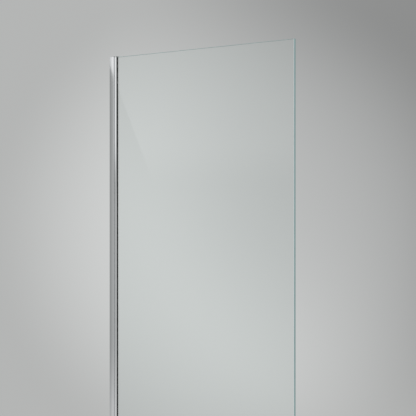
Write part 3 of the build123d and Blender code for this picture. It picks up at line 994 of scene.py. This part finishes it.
class BATHSCREEN_OT_drip_seal(bpy.types.Operator):
    """Clear seal clipped under the glass, with two fins and a drip deflector"""

    bl_idname = "bath_screen.drip_seal"
    bl_label = "Drip Seal"

    def execute(self, context):
        """Carries the clip's outline along the glass, with tapered legs and fins and a bead on the deflector."""
        sizes = context.scene.bath_screen_drip
        finish = context.scene.bath_screen_finish
        outline, normals = closed(*self.outline(sizes))
        grid = carried(outline, normals, np.linspace(SEAL_LOW.x, SEAL_HIGH.x, 5), axis="X")
        flats = [(grid[0][0, :-1], (-1, 0, 0)), (grid[0][-1, :-1], (1, 0, 0))]
        mesh = surface_mesh("drip_seal", [grid], flats)
        add_piece("drip_seal", mesh, [clear_seal_material(finish)], SCREEN_BODY, "clear_seal", "bottom_seal_strip")
        return {"FINISHED"}

    def outline(self, sizes):
        """Outline in Y and Z, counter-clockwise from the tip of the outer fin.

        The deflector runs at 45 degrees, so its middle line has a constant sum of Y and Z."""
        glass = GLASS_HALF + 0.02 * MM
        outer = GLASS_HALF + sizes.leg_wall
        tip = glass + sizes.tip_wall
        seat = GLASS_LOW.z - 0.02 * MM
        base = GLASS_LOW.z - sizes.leg_wall
        top = SEAL_HIGH.z
        foot = SEAL_LOW.z
        spread = outer + 1.3 * MM
        fin_tip = 0.6 * sizes.fin_wall
        down = np.array([math.sqrt(0.5), -math.sqrt(0.5)])
        up = np.array([math.sqrt(0.5), math.sqrt(0.5)])
        bead = np.array([SEAL_HIGH.y - sizes.bulb_radius, 0])
        bead[1] = outer + base - bead[0]
        bulb = sizes.bulb_radius
        neck = 0.6 * bulb
        corners = [
            (-spread, foot),
            (-spread + fin_tip, foot),
            (-outer + sizes.fin_wall, base),
            (outer - sizes.fin_wall, base),
            (spread - fin_tip, foot),
            (spread, foot),
            (outer + 0.14 * MM, base - 1.0 * MM),
            bead - 1.3 * bulb * down - neck * up,
            bead - 0.8 * bulb * down - bulb * up,
            bead + bulb * down - bulb * up,
            bead + bulb * down + bulb * up,
            bead - 0.8 * bulb * down + bulb * up,
            bead - 1.3 * bulb * down + neck * up,
            (outer, base + 0.9 * MM),
            (outer, seat + 2.5 * MM),
            (tip, top),
            (glass, top),
            (glass, seat),
            (-glass, seat),
            (-glass, top),
            (-tip, top),
            (-outer, seat + 2.5 * MM),
            (-outer, base + 0.6 * MM),
        ]
        radii = np.array(
            [0.2, 0.2, 0.4, 0.4, 0.2, 0.2, 0.4, 0.3, 0.2, 0.58, 0.58, 0.2, 0.3, 0.6, 6.0, 0.12, 0.12, 0.2, 0.2, 0.12]
            + [0.12, 6.0, 0.6]
        )
        return rounded_outline(corners, radii * MM)


class BATHSCREEN_OT_screw_covers(bpy.types.Operator):
    """Domed chrome covers over the jamb's three screws"""

    bl_idname = "bath_screen.screw_covers"
    bl_label = "Screw Covers"

    def execute(self, context):
        """Turns a hollow profile about each screw: an upright wall, a bend, and a crown that is a parabola."""
        sizes = context.scene.bath_screen_cover
        finish = context.scene.bath_screen_finish
        radius = 0.5 * (COVER_HIGH.x - COVER_LOW.x)
        height = COVER_HIGH.y - COVER_LOW.y
        inner = radius - sizes.wall
        shoulder = height - sizes.crown
        bend_radius = 0.7 * MM
        bend, _ = arc((radius - bend_radius, shoulder - bend_radius), bend_radius, 0, 0.42 * math.pi, 10)
        r = np.linspace(bend[-1, 0], 0, 14)[1:]
        dome = np.stack([r, height - (height - bend[-1, 1]) * (r / bend[-1, 0]) ** 2], axis=-1)
        skin = np.concatenate([[(radius, 0.0)], [(radius, 0.4 * shoulder)], bend, dome])
        slopes = outline_slopes(skin)
        slopes[:2] = (1, 0)
        slopes[-1] = (0, 1)
        roof = height - sizes.wall
        cavity = np.array([(0, roof), (inner, roof), (inner, roof), (inner, 0)])
        cavity_slopes = np.array([(0, -1), (0, -1), (-1, 0), (-1, 0)], float)
        foot = np.array([(inner, 0), (radius, 0)])
        foot_slopes = np.array([(0, -1), (0, -1)], float)
        centre_x = 0.5 * (COVER_LOW.x + COVER_HIGH.x)
        first = COVER_LOW.z + radius
        last = COVER_HIGH.z - radius
        turn_over = [0, 2, 1]
        grids = []
        for centre_z in (first, 0.5 * (first + last), last):
            centre = np.array([centre_x, COVER_LOW.y, centre_z])
            for profile, slope in ((skin, slopes), (cavity, cavity_slopes), (foot, foot_slopes)):
                points, normals = turned(profile[:, 0], profile[:, 1], slope, 72)
                grids.append((points[..., turn_over] + centre, normals[..., turn_over]))
        mesh = surface_mesh("screw_covers", grids)
        material = cast_chrome_material("chromed_cover_plastic", finish)
        add_piece("screw_covers", mesh, [material], WALL_BODY, "chrome_cap", "screw_cover_caps")
        return {"FINISHED"}


class BATHSCREEN_OT_bracket_screws(bpy.types.Operator):
    """Countersunk cross-head screws of the top and bottom brackets"""

    bl_idname = "bath_screen.bracket_screws"
    bl_label = "Bracket Screws"

    def execute(self, context):
        """Turns each screw: a countersunk head with a cross recess, and a shank whose radius follows its thread."""
        sizes = context.scene.bath_screen_screw
        finish = context.scene.bath_screen_finish
        head_radius = 0.5 * (SCREW_HIGH.x - SCREW_LOW.x)
        port_x = 0.5 * (SCREW_HIGH.x + SCREW_LOW.x)
        port_y = SCREW_HIGH.y - head_radius
        whole = SCREW_HIGH.z - SCREW_LOW.z
        shank, root, head = 1.4 * MM, 1.15 * MM, 0.9 * MM
        soft = 0.1 * MM
        steps = 96

        def arm(along, aside):
            """Share of the recess along one arm of the cross, with slopes over the soft width."""
            return np.clip((sizes.recess_half - aside) / soft, 0, 1) * np.clip((sizes.recess_arm - along) / soft, 0, 1)

        def recess(turn, r):
            """Depth of the recess, which is the deeper of its two arms."""
            x, y = abs(r * np.cos(turn)), abs(r * np.sin(turn))
            return sizes.recess_depth * np.maximum(arm(x, y), arm(y, x))

        face_r = np.linspace(0, head_radius - soft, 34)
        upward = np.tile((0.0, 1.0), (len(face_r), 1))
        face, face_normals = turned(face_r, np.zeros_like(face_r), upward, steps, dent=recess)
        slope = np.cross(np.gradient(face, axis=0), np.gradient(face, axis=1))
        size = np.linalg.norm(slope, axis=-1, keepdims=True)
        face_normals = np.where(size > 1e-14, slope / np.maximum(size, 1e-14), face_normals)
        face_normals *= np.where(face_normals[..., 2:] < 0, -1, 1)
        side = np.array([(head_radius - soft, 0), (head_radius, -0.06 * MM), (shank, -head)])
        side, side_normals = turned(side[:, 0], side[:, 1], -outline_slopes(side), steps)
        turns = np.linspace(0, 2 * math.pi, steps + 1)
        depth = np.linspace(-head, -whole + 1.2 * MM, 110)
        phase = 2 * math.pi * depth[:, None] / sizes.thread_pitch + turns[None]
        swell = np.clip((depth[:, None] + head) / (-1.0 * MM), 0, 1)
        radius = shank - (shank - root) * swell * (0.5 + 0.5 * np.cos(phase)) ** 0.5
        level = np.broadcast_to(depth[:, None], radius.shape)
        body = np.stack([radius * np.cos(turns), radius * np.sin(turns), level], axis=-1)
        body_normals = np.stack([np.cos(turns) + 0 * radius, np.sin(turns) + 0 * radius, 0 * radius], axis=-1)
        point_rows = np.linspace(1, 0, 8)[:, None, None]
        tip = np.array([0, 0, -whole])
        point = tip + (body[-1][None] - tip) * point_rows
        point_normals = body_normals[-1][None] * 0.8 + np.array([0, 0, -0.6])
        point_normals = np.broadcast_to(point_normals, point.shape)
        one = [(face, face_normals), (side, side_normals), (body, body_normals), (point, point_normals)]
        material = turned_steel_material("turned_screw_steel", finish, (port_x, port_y, 0.0))
        for name, node_name, height, flip in (
            ("top_screws", "top_bracket_screws", SCREW_HIGH.z, 1),
            ("bottom_screws", "bottom_bracket_screws", LOWER_SCREW_LOW.z, -1),
        ):
            turn_over = np.array([1, flip, flip])
            grids = [
                (points * turn_over + np.array([port_x, sign * port_y, height]), normals * turn_over)
                for sign in (-1, 1)
                for points, normals in one
            ]
            add_piece(name, surface_mesh(name, grids), [material], WALL_BODY, "stainless", node_name)
        return {"FINISHED"}


class BATHSCREEN_OT_cad_finishes(bpy.types.Operator):
    """Materials of the pieces that keep their CAD shape"""

    bl_idname = "bath_screen.cad_finishes"
    bl_label = "Finishes Of Plain Pieces"

    def execute(self, context):
        """Makes each material once and gives it to its nodes."""
        finish = context.scene.bath_screen_finish
        pivot = (PIVOT_X, 0.0, 0.0)
        fixing = (0.5 * (COVER_LOW.x + COVER_HIGH.x), 0.0, 0.0)
        steel = turned_steel_material("turned_pin_steel", finish, pivot)
        nylon = moulded_material("moulded_black_nylon", finish.nylon, 1400.0, 0.25, 0.5)
        acetal = moulded_material("moulded_white_acetal", finish.acetal, 900.0, 0.12, 0.36)
        plate = cast_chrome_material("polished_bracket_chrome", finish)
        finishes = {
            # The jamb's chrome gets painted shade across its whole width, darkest by the wall.
            "hinge_jamb": chrome_material("bright_chrome_jamb", finish, JAMB_LOW.x, JAMB_HIGH.x),
            "wall_channel": drawn_aluminium_material(finish),
            "top_pivot_bracket": plate,
            "bottom_pivot_bracket": plate,
            "top_pivot_pin": steel,
            "bottom_pivot_pin": steel,
            "thrust_washer": steel,
            "jamb_fixing_screws": turned_steel_material("turned_fixing_steel", finish, fixing),
            "screw_cap_bases": nylon,
            "top_pivot_plug": nylon,
            "bottom_pivot_plug": nylon,
            "top_pivot_bush": acetal,
            "bottom_pivot_bush": acetal,
            "glass_setting_blocks": acetal,
        }
        for name, material in finishes.items():
            for slot in NODES[name].material_slots:
                slot.material = material
        return {"FINISHED"}


class BATHSCREEN_OT_studio(bpy.types.Operator):
    """Pale floor, soft lamps, pale background and the photograph's camera"""

    bl_idname = "bath_screen.studio"
    bl_label = "Studio"
    soft_light, soft_strength = (0.96, 0.98, 1.0, 1.0), 0.62
    # Soft round patches of the backdrop: each is full in its direction and fades out where the dot product with it
    # falls to the place
    shade_cone = {"Direction": (-0.556, 0.828, 0.071), "Place": 0.9697, "Width": 0.0303}
    pool_cone = {"Direction": (-0.679, 0.734, -0.014), "Place": 0.9852, "Width": 0.0148}
    # Steep left edge of the front panel: it passes this bearing and height in degrees, and rises so much for each
    # degree of bearing
    edge_bearing, edge_height, edge_rise = 47.766, 5.3, 2.7
    lamp_target = (0.35, 0.0, 0.8)

    def execute(self, context):
        """Builds the stage."""
        studio = context.scene.bath_screen_studio
        self.add_floor(studio)
        self.add_camera(context, studio)
        self.add_background(context, studio)
        self.add_lamps()
        context.scene.view_settings.view_transform = "Standard"
        return {"FINISHED"}

    def add_floor(self, studio):
        """Round floor under the screen: rings of points (r cos t, r sin t, 0)."""
        turn = np.linspace(0, 2 * math.pi, 97)
        reach = np.linspace(0, studio.floor_radius, 9)[:, None]
        ring = np.stack([reach * np.cos(turn), reach * np.sin(turn), 0 * reach * turn], axis=-1)
        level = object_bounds()[0][2] - 0.5 * MM
        mesh = surface_mesh("studio_floor", [(ring + np.array([0.0, 0.0, level]), np.array([0.0, 0.0, 1.0]))])
        mesh.materials.append(floor_material(studio))
        new_object("studio_floor", mesh)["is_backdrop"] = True

    def add_camera(self, context, studio):
        """Level camera at the photograph's angle."""
        camera = bpy.data.cameras.new("photo_camera")
        camera.sensor_width = 36.0
        camera.lens = studio.lens
        holder = new_object("photo_camera", camera)
        sight = Vector((-math.sin(studio.azimuth), math.cos(studio.azimuth), 0.0))
        holder.rotation_euler = sight.to_track_quat("-Z", "Y").to_euler()
        holder.location = studio.camera_place
        context.scene.camera = holder

    def add_background(self, context, studio):
        """Pale grey all round, with panels and flags in reflections, and even soft light on matt surfaces."""
        world = bpy.data.worlds.new("studio_world")
        world.use_nodes = True
        tree = world.node_tree
        tree.nodes.clear()
        place = tree.nodes.new("ShaderNodeTexCoord").outputs["Generated"]
        seen = self.backdrop(tree, place, studio)
        mirrored = self.panels(tree, place, seen, studio)
        path = tree.nodes.new("ShaderNodeLightPath").outputs
        straight = maths(tree, "MAXIMUM", path["Is Camera Ray"], path["Is Transmission Ray"])
        even, mirror, direct = (
            node(tree, "ShaderNodeBackground", Color=tone, Strength=strength).outputs["Background"]
            for tone, strength in ((self.soft_light, self.soft_strength), (mirrored, 1.0), (seen, 1.0))
        )
        glossy = node(tree, "ShaderNodeMixShader", in_0=path["Is Glossy Ray"], in_1=even, in_2=mirror)
        mix = node(tree, "ShaderNodeMixShader", in_0=straight, in_1=glossy.outputs["Shader"], in_2=direct)
        node(tree, "ShaderNodeOutputWorld", Surface=mix.outputs["Shader"])
        context.scene.world = world

    def backdrop(self, tree, place, studio):
        """Pale grey with a soft shade about one direction and a soft pool of light added about another."""
        shade = effect(tree, "Past A Plane", place, **self.shade_cone)
        pool = effect(tree, "Past A Plane", place, **self.pool_cone)
        tone = blend(tree, shade["Mask"], studio.background, studio.background_shade)
        return blend(tree, pool["Mask"], tone, studio.background_pool, "ADD")

    def panels(self, tree, place, tone, studio):
        """Light panels and dark flags, each the part of the sky between planes through the screen."""

        def past(direction, reach=0.0, width=0.001):
            """Mask of the sky past a plane that stands across the direction."""
            return effect(tree, "Past A Plane", place, Direction=direction, Place=reach, Width=width)["Mask"]

        def within(mask, *others):
            """Product of masks."""
            for other in others:
                mask = maths(tree, "MULTIPLY", mask, other)
            return mask

        def bearing(degrees):
            """Level direction that points to larger bearings, counted from the front of the screen to the wall."""
            turn = math.radians(degrees)
            return (-math.cos(turn), math.sin(turn), 0.0)

        def strip(first, last, soft):
            """Masks of the sky past one bearing and before another, with soft edges centred on them."""
            after, before = bearing(first), tuple(-part for part in bearing(last))
            return past(after, -0.5 * soft, soft), past(before, -0.5 * soft, soft)

        up, down = (0, 0, 1), (0, 0, -1)
        ceiling = past(up, 0.35, 0.35)
        below = past(down, 0.085, 0.07)
        front = within(past(self.slanted_edge()), past(up, 0.012, 0.035), past(bearing(-12.0), -0.1, 0.2))
        side = within(*strip(-80.0, -48.0, 0.1), past(up, 0.084, 0.012))
        low = within(*strip(-70.0, -20.0, 0.2), past(down, -0.03, 0.03))
        for mask, share in ((ceiling, 1.0), (below, 0.7), (front, 1.0), (side, 1.0), (low, 0.75)):
            tone = blend(tree, mask, tone, scaled(studio.panel, share))
        for first, last in ((72.0, 88.0), (160.0, 178.0), (-100.0, -82.0)):
            tone = blend(tree, within(*strip(first, last, 0.06)), tone, studio.flag)
        return tone

    def slanted_edge(self):
        """Normal of the plane through the screen that holds the steep left edge of the front panel: the unit vector
        upwards minus the rise times the one to larger bearings."""
        bearing, height, rise = math.radians(self.edge_bearing), math.radians(self.edge_height), self.edge_rise
        along = np.array([-math.cos(bearing), math.sin(bearing), 0.0])
        upward = np.array(
            [math.sin(bearing) * math.sin(height), math.cos(bearing) * math.sin(height), math.cos(height)]
        )
        return tuple((upward - rise * along) / math.hypot(1.0, rise))

    def add_lamps(self):
        """Three large soft lamps above the screen, to its front, its far side and its back."""
        for name, place, size, power in (
            ("key_lamp", (1.6, -2.8, 3.3), 2.4, 26.0),
            ("fill_lamp", (-2.2, -1.8, 3.0), 1.8, 12.0),
            ("back_lamp", (1.2, 2.8, 3.2), 2.0, 15.0),
        ):
            lamp = bpy.data.lights.new(name, "AREA")
            lamp.size = size
            lamp.energy = power
            holder = new_object(name, lamp)
            holder.location = place
            holder.rotation_euler = (Vector(self.lamp_target) - Vector(place)).to_track_quat("-Z", "Y").to_euler()


OPERATORS = (
    BATHSCREEN_OT_pivot_bar,
    BATHSCREEN_OT_gaskets,
    BATHSCREEN_OT_glass_pane,
    BATHSCREEN_OT_wipers,
    BATHSCREEN_OT_drip_seal,
    BATHSCREEN_OT_screw_covers,
    BATHSCREEN_OT_bracket_screws,
    BATHSCREEN_OT_cad_finishes,
    BATHSCREEN_OT_studio,
)


class BATHSCREEN_PT_panel(bpy.types.Panel):
    """Lists the steps that finish the bath screen"""

    bl_idname = "BATHSCREEN_PT_panel"
    bl_label = "Bath Screen"
    bl_space_type = "VIEW_3D"
    bl_region_type = "UI"
    bl_category = "Bath Screen"

    def draw(self, context):
        """One button for each operator and a box for each group of settings."""
        for operator in OPERATORS:
            self.layout.operator(operator.bl_idname)
        for name, group in PROPERTY_GROUPS.items():
            box = self.layout.box()
            box.label(text=group.__doc__)
            for setting in group.__annotations__:
                box.prop(getattr(context.scene, name), setting)


def register():
    """Registers the settings, operators and panel."""
    for name, group in PROPERTY_GROUPS.items():
        bpy.utils.register_class(group)
        setattr(bpy.types.Scene, name, bpy.props.PointerProperty(type=group))
    for operator in OPERATORS:
        bpy.utils.register_class(operator)
    bpy.utils.register_class(BATHSCREEN_PT_panel)


def unregister():
    """Removes the panel, operators and settings."""
    bpy.utils.unregister_class(BATHSCREEN_PT_panel)
    for operator in reversed(OPERATORS):
        bpy.utils.unregister_class(operator)
    for name, group in reversed(list(PROPERTY_GROUPS.items())):
        delattr(bpy.types.Scene, name)
        bpy.utils.unregister_class(group)


def main():
    """Dresses the screen, one operator after another."""
    register()
    bpy.ops.bath_screen.pivot_bar()
    bpy.ops.bath_screen.gaskets()
    bpy.ops.bath_screen.glass_pane()
    bpy.ops.bath_screen.wipers()
    bpy.ops.bath_screen.drip_seal()
    bpy.ops.bath_screen.screw_covers()
    bpy.ops.bath_screen.bracket_screws()
    bpy.ops.bath_screen.cad_finishes()
    bpy.ops.bath_screen.studio()


if __name__ == "__main__":
    main()
